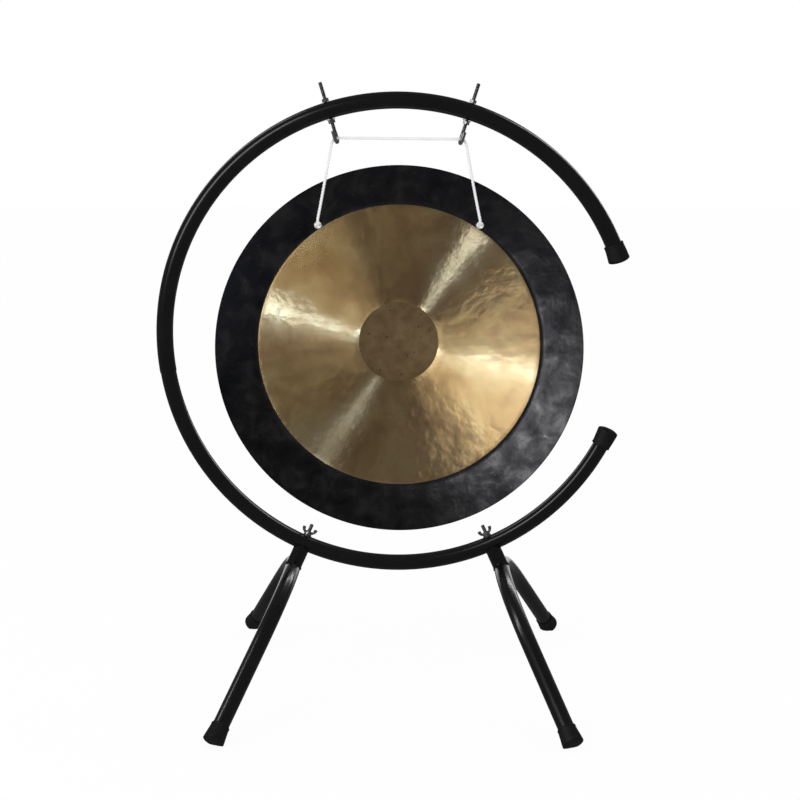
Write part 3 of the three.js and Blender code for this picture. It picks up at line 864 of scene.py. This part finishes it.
def make_nut(name, path, seat):
    """A hexagon nut with both faces turned back to a cone at the corners, standing on its seat."""
    turn = 2 * np.pi * np.arange(nut_sides) / nut_sides
    hexagon = nut_flats / 2 / np.cos((turn + np.pi / 6) % (np.pi / 3) - np.pi / 6)
    face = nut_flats / 2 * nut_face_share
    fall = np.maximum(0, hexagon - face) * math.tan(nut_bevel)
    mouth = nut_bore + nut_bore_bevel
    rows = [(nut_bore, nut_bore_bevel), (mouth, 0), (face, 0), (hexagon, fall),
            (hexagon, nut_height - fall), (face, nut_height), (mouth, nut_height),
            (nut_bore, nut_height - nut_bore_bevel)]
    centre, across, aside = path(np.array([seat, seat + 1]))
    out = centre[1] - centre[0]
    ones = np.ones(nut_sides)
    points = [centre[0] + r * (math.cos(a) * across[0] + math.sin(a) * aside[0]) + h * out
              for radius, height in rows for r, h, a in zip(radius * ones, height * ones, turn)]
    return make_piece(name, points, wrap(len(rows), nut_sides), crease=25)


def make_washer(name, path, seat):
    """A flat round washer lying on its seat, its edges eased."""
    profile = pipe(seat, seat + washer_thickness, nut_bore, washer_radius, washer_edge)
    return turned(name, path, profile, sides=washer_sides)


steel = plated_steel()
top_seat = ring_radius + upper_radius + seat_gap
washer_seat = (ring_radius - upper_radius) * ring_chord - seat_gap - washer_thickness
for side_name, side in both_sides:
    angle = upper_turn + side * hook_angle
    path, shank, length = hook_path(angle, side)
    along, inward = (share * rod_chamfer for share in tip_shares)
    bolt = turned(f"hook_{side_name}", path, [
        (0, 0), (0, rod_radius - rod_chamfer), (rod_chamfer, rod_radius),
        (length - rod_chamfer, rod_radius), (length - along, rod_radius - inward),
        (length, rod_radius - rod_chamfer), (length, 0)], sides=rod_sides, step=thread_pitch / 8,
        relief=threads(thread_lead, shank - hook_plain), crease=rod_crease)
    put_on(bolt, "upper_ring", "plated_steel", steel, f"hook_bolt_{side_name}")
    out = straight(angle)
    put_on(make_nut(f"hook_nut_top_{side_name}", out, top_seat),
           "upper_ring", "plated_steel", steel, f"hook_top_nut_{side_name}")
    put_on(make_washer(f"hook_washer_fine_{side_name}", out, washer_seat),
           "upper_ring", "plated_steel", steel, f"hook_washer_{side_name}")
    put_on(make_nut(f"hook_nut_bottom_{side_name}", out, washer_seat - seat_gap - nut_height),
           "upper_ring", "plated_steel", steel, f"hook_bottom_nut_{side_name}")


# The legs
# Each leg is a 24 mm tube bent to an arch across the ring, with a short stub coped and welded on
# its top. A plug welded in the stub holds a stud that goes up through the ring. All enamelled.
leg_radius = 12 * MM
leg_wall = 1.5 * MM
arch_top = 398 * MM
arch_splay = math.radians(27.5)
arch_bend = 240 * MM
arch_turn = math.radians(47)
arch_straight = 165 * MM
foot_base = 5 * MM
cope_gap = 0.3 * MM
plug_thickness = 9 * MM
stud_reach = 19.4 * MM
plug_inset = 1.2 * MM
plug_edge = 0.5 * MM
plug_fit = 0.05 * MM
stud_fit = 0.1 * MM
stub_sides = 96
stub_rows = 9
cope_rounds = 8
bead_radius = 1.2 * MM
bead_sink_share = 0.3
bead_ripple = 3.2 * MM
bead_swell_share = 0.16
bead_waist_share = 0.1
bead_bow = 0.12
bead_steps = 240
bead_sides = 20


def arch_path(angle, side, out_sign):
    """Half an arch by length from its top: out to the front or back, bending down, then straight.
    It leans to the side, because the arch splays a little more than its stud."""
    out, across = radial(angle)
    lean = arch_splay - stud_angle
    down = math.cos(lean) * out - side * math.sin(lean) * across
    apex = ring_centre + arch_top * out
    away = rearward * out_sign
    aside = np.cross(away, down)

    def path(s):
        turn = np.clip(s / arch_bend, 0, arch_turn)
        rest = np.maximum(0, s - arch_bend * arch_turn)
        point = (apex + np.outer(arch_bend * np.sin(turn) + rest * np.cos(turn), away)
                 + np.outer(arch_bend * (1 - np.cos(turn)) + rest * np.sin(turn), down))
        across = np.outer(np.cos(turn), down) - np.outer(np.sin(turn), away)
        return point, across, np.tile(aside, (len(s), 1))

    return path


def whole_arch(angle, side):
    """Both halves of an arch as one path, with lengths below zero to the front."""
    front, back = (arch_path(angle, side, sign) for sign in (-1, 1))

    def path(s):
        ahead, behind = front(np.abs(s)), back(np.abs(s))
        first = (s < 0)[:, None]
        return (np.where(first, ahead[0], behind[0]), np.where(first, ahead[1], behind[1]),
                np.where(first, -ahead[2], behind[2]))

    return path


def stub_mouths(radius, side):
    """The stub's two ends round its wall, saddle cut to the ring's tube and to the arch. The arch's
    side depends on how far down it is met, so that end is worked out in a few rounds."""
    turn = 2 * np.pi * np.arange(stub_sides) / stub_sides
    x, y = radius * np.cos(turn), radius * np.sin(turn)
    ring_tube = lower_radius + cope_gap
    top = np.sqrt((ring_radius + np.sqrt(ring_tube ** 2 - y ** 2)) ** 2 - x ** 2)
    lean = arch_splay - stud_angle
    arch_tube = leg_radius + cope_gap
    bottom = np.full(stub_sides, arch_top)
    for _ in range(cope_rounds):
        w = math.cos(lean) * x + side * math.sin(lean) * (bottom - arch_top)
        w = np.clip(w, -arch_tube, arch_tube)
        u = arch_bend - np.sqrt((arch_bend + np.sqrt(arch_tube ** 2 - w ** 2)) ** 2 - y ** 2)
        bottom = arch_top + (u + side * math.sin(lean) * x) / math.cos(lean)
    return x, y, top, bottom


def make_stub(name, angle, side):
    """The stub's wall, down its outside from the ring to the arch and up its bore."""
    out, across = radial(angle)
    walls = [stub_mouths(radius, side) for radius in (leg_radius, leg_radius - leg_wall)]
    down = np.linspace(0, 1, stub_rows)
    rows = [(x, y, top + (bottom - top) * t)
            for (x, y, top, bottom), heights in zip(walls, (down, 1 - down)) for t in heights]
    points = [ring_centre + px * across + py * rearward + pz * out
              for x, y, z in rows for px, py, pz in zip(x, y, z)]
    return make_piece(name, points, wrap(len(rows), stub_sides))


def make_bead(name, angle, side):
    """The weld's bead round the stub's foot, laid down in small overlapping ripples."""
    out, across = radial(angle)
    x, y, _, bottom = stub_mouths(leg_radius, side)
    line = [ring_centre + px * across + py * rearward + (pz - bead_sink_share * bead_radius) * out
            for px, py, pz in zip(x, y, bottom)]
    path, length = path_along(line, closed=True)
    count = round(length / bead_ripple)
    rows = [(length * k / bead_steps, bead_radius) for k in range(bead_steps)]

    def ripple(s, turn, reach):
        phase = (s * count / length - bead_bow * np.cos(turn)) % 1
        swell = bead_swell_share * np.sqrt(np.maximum(0, 1 - (2 * phase - 1) ** 2))
        return reach * (swell - bead_waist_share)

    return turned(name, path, rows + rows[:1], sides=bead_sides, relief=ripple, crease=70)


arch_half = arch_bend * arch_turn + arch_straight - foot_base - cap_fit
plug_start = ring_radius + lower_radius + plug_inset
plug_end = ring_radius + lower_radius - seat_gap + plug_thickness
stud_top = ring_radius - lower_radius - stud_reach
arch_wall = pipe(-arch_half, arch_half, leg_radius - leg_wall, leg_radius, tube_edge)
plug_wall = pipe(plug_start, plug_end, rod_radius + stud_fit,
                 leg_radius - leg_wall - plug_fit, plug_edge)
for side_name, side in both_sides:
    angle = side * (math.pi - stud_angle)
    leg = f"leg_{side_name}"
    arch = turned(f"arch_{side_name}", whole_arch(angle, side), arch_wall,
                  sides=tube_sides, step=bend_step)
    put_on(arch, leg, "black_gloss", enamel, f"leg_arch_{side_name}")
    stub = make_stub(f"stub_{side_name}", angle, side)
    put_on(stub, leg, "black_gloss", enamel, f"leg_stub_{side_name}")
    put_on(make_bead(f"stub_weld_{side_name}", angle, side), leg, "black_gloss", enamel)
    plug = turned(f"plug_{side_name}", straight(angle), plug_wall)
    put_on(plug, leg, "black_gloss", enamel, f"stub_plug_{side_name}")
    stud = turned(f"stud_{side_name}", straight(angle), [
        (stud_top, 0), (stud_top, rod_radius - rod_chamfer), (stud_top + rod_chamfer, rod_radius),
        (plug_end, rod_radius), (plug_end, 0)], sides=rod_sides, step=thread_pitch / 8,
        relief=threads(stud_top + thread_lead, plug_end), crease=rod_crease)
    put_on(stud, leg, "plated_steel", steel, f"leg_stud_{side_name}")


# The wing nuts
# Cast zinc wing nuts, each on a washer on the inner side of the ring: a coned hub with two thick
# ears that spread like a V, all corners soft from the mould. They are turned by hand.
wing_hub = 5.5 * MM
wing_hub_top = 4.3 * MM
wing_hub_height = 5.5 * MM
wing_hub_edge = 0.5 * MM
wing_span = 25 * MM
wing_rise = 11 * MM
wing_thickness = 3.2 * MM
wing_width = 5.6 * MM
wing_root = 0.6 * MM
wing_lift = 0.4 * MM
wing_foot = 0.7 * MM
wing_sweep = 2.2 * MM
wing_taper = 1.6 * MM
wing_corner = 1.4 * MM
wing_web = 0.9 * MM
wing_edge = 0.7 * MM
wing_edge_steps = 3
wing_turns = {"left": math.radians(10), "right": math.radians(25)}
cast_detail = 0.32 * MM
cast_smoothing = 4


def make_wing_nut(name, angle, seat, turn):
    """The hub and ears joined as one casting, in its own place first and then on its seat."""
    def upright(s):
        ones = np.ones((len(s), 1))
        return np.outer(s, (0, 0, 1)), ones * np.array((1.0, 0, 0)), ones * rearward

    hub = turned(name, upright, rounded([
        (0, nut_bore), (0, wing_hub), (wing_hub_height, wing_hub_top), (wing_hub_height, nut_bore),
        (0, nut_bore)], wing_hub_edge), sides=washer_sides)
    tip = wing_span / 2
    ear_outline = [
        (nut_bore + wing_root, wing_lift), (wing_hub, wing_foot), (wing_hub + wing_sweep, wing_sweep),
        (tip - wing_taper, wing_rise - wing_width), (tip, wing_rise - wing_corner),
        (tip - wing_root, wing_rise), (tip - wing_width, wing_rise),
        (wing_hub + wing_web, wing_hub_height + wing_lift),
        (nut_bore + wing_root, wing_hub_height - 2 * wing_lift)]
    for side in (1, -1):
        shape = bmesh.new()
        corners = [shape.verts.new((side * x, -wing_thickness / 2, z)) for x, z in ear_outline]
        face = shape.faces.new(corners)
        grown = bmesh.ops.extrude_face_region(shape, geom=[face])
        moved = [v for v in grown["geom"] if isinstance(v, bmesh.types.BMVert)]
        bmesh.ops.translate(shape, verts=moved, vec=(0, wing_thickness, 0))
        bmesh.ops.recalc_face_normals(shape, faces=shape.faces)
        bmesh.ops.bevel(shape, geom=shape.edges, offset=wing_edge, segments=wing_edge_steps,
                        affect="EDGES", clamp_overlap=True)
        mesh = bpy.data.meshes.new("ear")
        shape.to_mesh(mesh)
        shape.free()
        ear = bpy.data.objects.new("ear", mesh)
        bpy.context.scene.collection.objects.link(ear)
        joined = hub.modifiers.new("ear", "BOOLEAN")
        joined.operation = "UNION"
        joined.object = ear
        with bpy.context.temp_override(object=hub, active_object=hub):
            bpy.ops.object.modifier_apply(modifier=joined.name)
        bpy.data.objects.remove(ear)
    cast = hub.modifiers.new("cast", "REMESH")
    cast.mode = "VOXEL"
    cast.voxel_size = cast_detail
    soften = hub.modifiers.new("soften", "SMOOTH")
    soften.iterations = cast_smoothing
    soften.factor = 0.5
    with bpy.context.temp_override(object=hub, active_object=hub):
        for modifier in (cast.name, soften.name):
            bpy.ops.object.modifier_apply(modifier=modifier)
    out, across = radial(angle)
    one = math.cos(turn) * across - math.sin(turn) * rearward
    other = np.cross(-out, one)
    for vertex in hub.data.vertices:
        x, y, z = vertex.co
        vertex.co = ring_centre + (seat - z) * out + x * one + y * other
    hub.data.shade_smooth()
    return hub


seat = (ring_radius - lower_radius) * ring_chord - seat_gap - washer_thickness
for side_name, side in both_sides:
    angle = side * (math.pi - stud_angle)
    put_on(make_washer(f"stud_washer_{side_name}", straight(angle), seat),
           f"washer_{side_name}", "plated_steel", steel, f"leg_washer_{side_name}")
    nut = make_wing_nut(f"wing_nut_cast_{side_name}", angle, seat - seat_gap, wing_turns[side_name])
    put_on(nut, f"wing_nut_{side_name}", "plated_steel", steel, f"wing_nut_{side_name}")


# The feet
# The same black rubber as the end caps, pushed on the arch's ends. They stand on the floor on the
# lower edge of the sole, which is worn flat there.
foot_length = 28 * MM
foot_wall = 1.6 * MM
foot_flare = 2 * MM
foot_sole = 2 * MM

reach = arch_half + cap_fit + foot_base + foot_sole
for side_name, side in both_sides:
    angle = side * (math.pi - stud_angle)
    for end_name, sign in (("front", -1), ("rear", 1)):
        half = arch_path(angle, side, sign)

        def from_sole(s, half=half):
            return half(reach - s)

        foot = turned(f"foot_rubber_{end_name}_{side_name}", from_sole,
                      cap_profile(foot_length, leg_radius, foot_wall, foot_flare, foot_sole, foot_base),
                      step=bend_step)
        for vertex in foot.data.vertices:
            vertex.co.z = max(vertex.co.z, 0)
        put_on(foot, f"leg_{side_name}", "black_rubber", rubber, f"foot_{end_name}_{side_name}")


# The studio
# A plain pale floor under an even white background, with a dark cloth all round that only
# reflections see. Narrow soft boxes draw the bronze's streaks, and broad ones fill in between
# them. The ring, the legs and the knots behind the gong have soft boxes of their own.
floor_radius = 12
scuffed_patch = 200 * MM
floor_white = "#f4f4f3"
floor_glow = 0.95
ambient_strength = 0.95
cloth_radius = 6
cloth_centre = (0, 0, 0.5)
cloth_strength = 0.13
box_distance = 3
daylight = (0.4, 0.58, 1)
skylight = (0.86, 0.93, 1)
white_light = (1, 1, 1)

bpy.ops.mesh.primitive_circle_add(vertices=96, radius=floor_radius, fill_type="NGON")
floor = bpy.context.object
floor.name = "floor"
material, tree, shader, place = new_material("painted_floor")
scuffs = add_node(tree, "ShaderNodeTexNoise", {
    "Vector": place, "Scale": 1 / scuffed_patch, "Detail": 3.0})
shade = add_node(tree, "ShaderNodeValToRGB", {"Fac": scuffs.outputs["Fac"]}, stops=(
    (0.3, "#efefee"), (0.7, floor_white))).outputs["Color"]
set_inputs(tree, shader, {
    "Base Color": shade, "Roughness": 0.9})
light_path = add_node(tree, "ShaderNodeLightPath")
glow = add_node(tree, "ShaderNodeEmission", {"Color": (1, 1, 1, 1), "Strength": 1.0})
seen = add_node(tree, "ShaderNodeMath", {
    0: light_path.outputs["Is Camera Ray"], 1: floor_glow}, operation="MULTIPLY")
mixed = add_node(tree, "ShaderNodeMixShader", {
    0: seen.outputs["Value"], 1: shader.outputs["BSDF"], 2: glow.outputs["Emission"]})
output = next(n for n in tree.nodes if n.type == "OUTPUT_MATERIAL")
tree.links.new(mixed.outputs["Shader"], output.inputs["Surface"])
floor.data.materials.append(material)
floor.visible_glossy = False

world = bpy.data.worlds.new("studio")
world.use_nodes = True
bpy.context.scene.world = world
tree = world.node_tree
tree.nodes.clear()
light_path = add_node(tree, "ShaderNodeLightPath")
mirrored = add_node(tree, "ShaderNodeMath", {
    0: light_path.outputs["Is Glossy Ray"], 1: light_path.outputs["Is Transmission Ray"]},
    operation="MAXIMUM")
direct = add_node(tree, "ShaderNodeMath", {
    0: light_path.outputs["Is Camera Ray"], 1: mirrored.outputs["Value"]}, operation="MAXIMUM")
ambient = add_node(tree, "ShaderNodeBackground", {"Color": (1, 1, 1, 1), "Strength": ambient_strength})
white = add_node(tree, "ShaderNodeBackground", {"Color": (1, 1, 1, 1), "Strength": 1.0})
mixed = add_node(tree, "ShaderNodeMixShader", {
    0: direct.outputs["Value"], 1: ambient.outputs["Background"], 2: white.outputs["Background"]})
add_node(tree, "ShaderNodeOutputWorld", {"Surface": mixed.outputs["Shader"]})

bpy.ops.mesh.primitive_uv_sphere_add(segments=48, ring_count=24, radius=cloth_radius,
                                     location=cloth_centre)
cloth = bpy.context.object
cloth.name = "dark_cloth"
material = bpy.data.materials.new("dark_cloth")
material.use_nodes = True
tree = material.node_tree
tree.nodes.clear()
dim = add_node(tree, "ShaderNodeEmission", {"Color": (1, 1, 1, 1), "Strength": cloth_strength})
add_node(tree, "ShaderNodeOutputMaterial", {"Surface": dim.outputs["Emission"]})
cloth.data.materials.append(material)
for ray in ("camera", "diffuse", "transmission", "volume_scatter", "shadow"):
    setattr(cloth, f"visible_{ray}", False)


def group(name, *pieces):
    """Some pieces of the object that a soft box can be kept to."""
    collection = bpy.data.collections.new(name)
    for piece in pieces:
        collection.objects.link(piece)
    return collection


def soft_box(name, start, end, breadth, strength, lit=None, colour=white_light):
    """A soft box that faces the gong, from one direction to another as seen from it. Its strength is
    how bright its front is, where white is 1. One that is kept to a group lights only its pieces,
    is shaded by nothing else, and adds nothing to what other pieces reflect."""
    ends = [Vector(direction).normalized() * box_distance for direction in (start, end)]
    middle, along = (ends[0] + ends[1]) / 2, ends[1] - ends[0]
    light = bpy.data.lights.new(name, "AREA")
    light.shape = "RECTANGLE"
    light.size, light.size_y = along.length, breadth
    light.energy = strength * math.pi * along.length * breadth
    light.color = colour
    box = bpy.data.objects.new(name, light)
    bpy.context.scene.collection.objects.link(box)
    away = middle.normalized()
    along.normalize()
    turned_to = Matrix((along, away.cross(along), away)).transposed()
    box.matrix_world = Matrix.Translation(Vector(gong_centre) + middle) @ turned_to.to_4x4()
    box.visible_camera = False
    if lit:
        box.light_linking.receiver_collection = lit
        box.light_linking.blocker_collection = lit
        light.cycles.max_bounces = 0


# The narrow boxes are bright, and their light from the bronze would speckle the black enamel.
gong.visible_glossy = False
gong_alone = group("gong_alone", gong)
legs_alone = group("legs_alone", bpy.data.objects["arch_left"], bpy.data.objects["arch_right"])
knots_alone = group("knots_alone", *knots)
ring_alone = group("ring_alone", upper_tube, lower_tube)
soft_box("left_strip", (-0.57, -0.817, 0.07), (-0.95, -0.25, 0.11), 0.035, 240, gong_alone, daylight)
soft_box("left_box", (-0.358, -0.661, 0.66), (-0.797, -0.579, 0.172), 0.6, 5)
soft_box("right_strip", (0.45, -0.66, 0.60), (0.65, -0.03, 0.76), 0.02, 1400, gong_alone, daylight)
soft_box("right_low_strip", (0.606, -0.765, -0.238), (0.944, -0.188, -0.3), 0.03, 220,
         gong_alone, daylight)
soft_box("right_box", (0.294, -0.821, -0.489), (0.457, -0.869, -0.189), 1.8, 1.8, gong_alone, skylight)
soft_box("right_near_box", (0.183, -0.927, -0.328), (0.225, -0.972, 0), 0.2, 4.7,
         gong_alone, skylight)
soft_box("right_side_box", (0.85, -0.52, -0.02), (0.68, -0.5, 0.53), 0.5, 4.6, gong_alone, skylight)
soft_box("top_box", (-0.15, -0.85, 0.5), (0.15, -0.85, 0.5), 0.8, 0.6, gong_alone, skylight)
soft_box("knot_box", (-0.15, -0.95, 0.2), (0.15, -0.95, 0.2), 0.8, 20, knots_alone)
soft_box("right_window", (0.6, 0.75, 0.1), (0.45, 0.25, 0.85), 0.5, 4, ring_alone)
soft_box("left_window", (-0.6, 0.75, 0.1), (-0.45, 0.25, 0.85), 0.5, 2, ring_alone)
soft_box("rear_left_box", (-0.5, 0.8, 0.45), (-0.85, 0.5, 0.1), 0.5, 2.5, gong_alone)
soft_box("rear_right_strip", (0.57, 0.817, 0.05), (0.95, 0.25, 0.12), 0.05, 80, gong_alone)
soft_box("rear_low_box", (0.2, 0.85, -0.4), (0.5, 0.85, -0.2), 1.0, 0.5, gong_alone)
soft_box("back_box", (-0.55, 0.83, -0.1), (0.55, 0.83, -0.1), 0.9, 1, legs_alone)
soft_box("leg_back_box", (0.09, 0.61, 0.63), (0.55, 0.69, 0.19), 0.35, 7, legs_alone)
soft_box("leg_side_box", (-0.93, 0.03, 0.24), (-0.55, -0.06, 0.7), 0.25, 11, legs_alone)
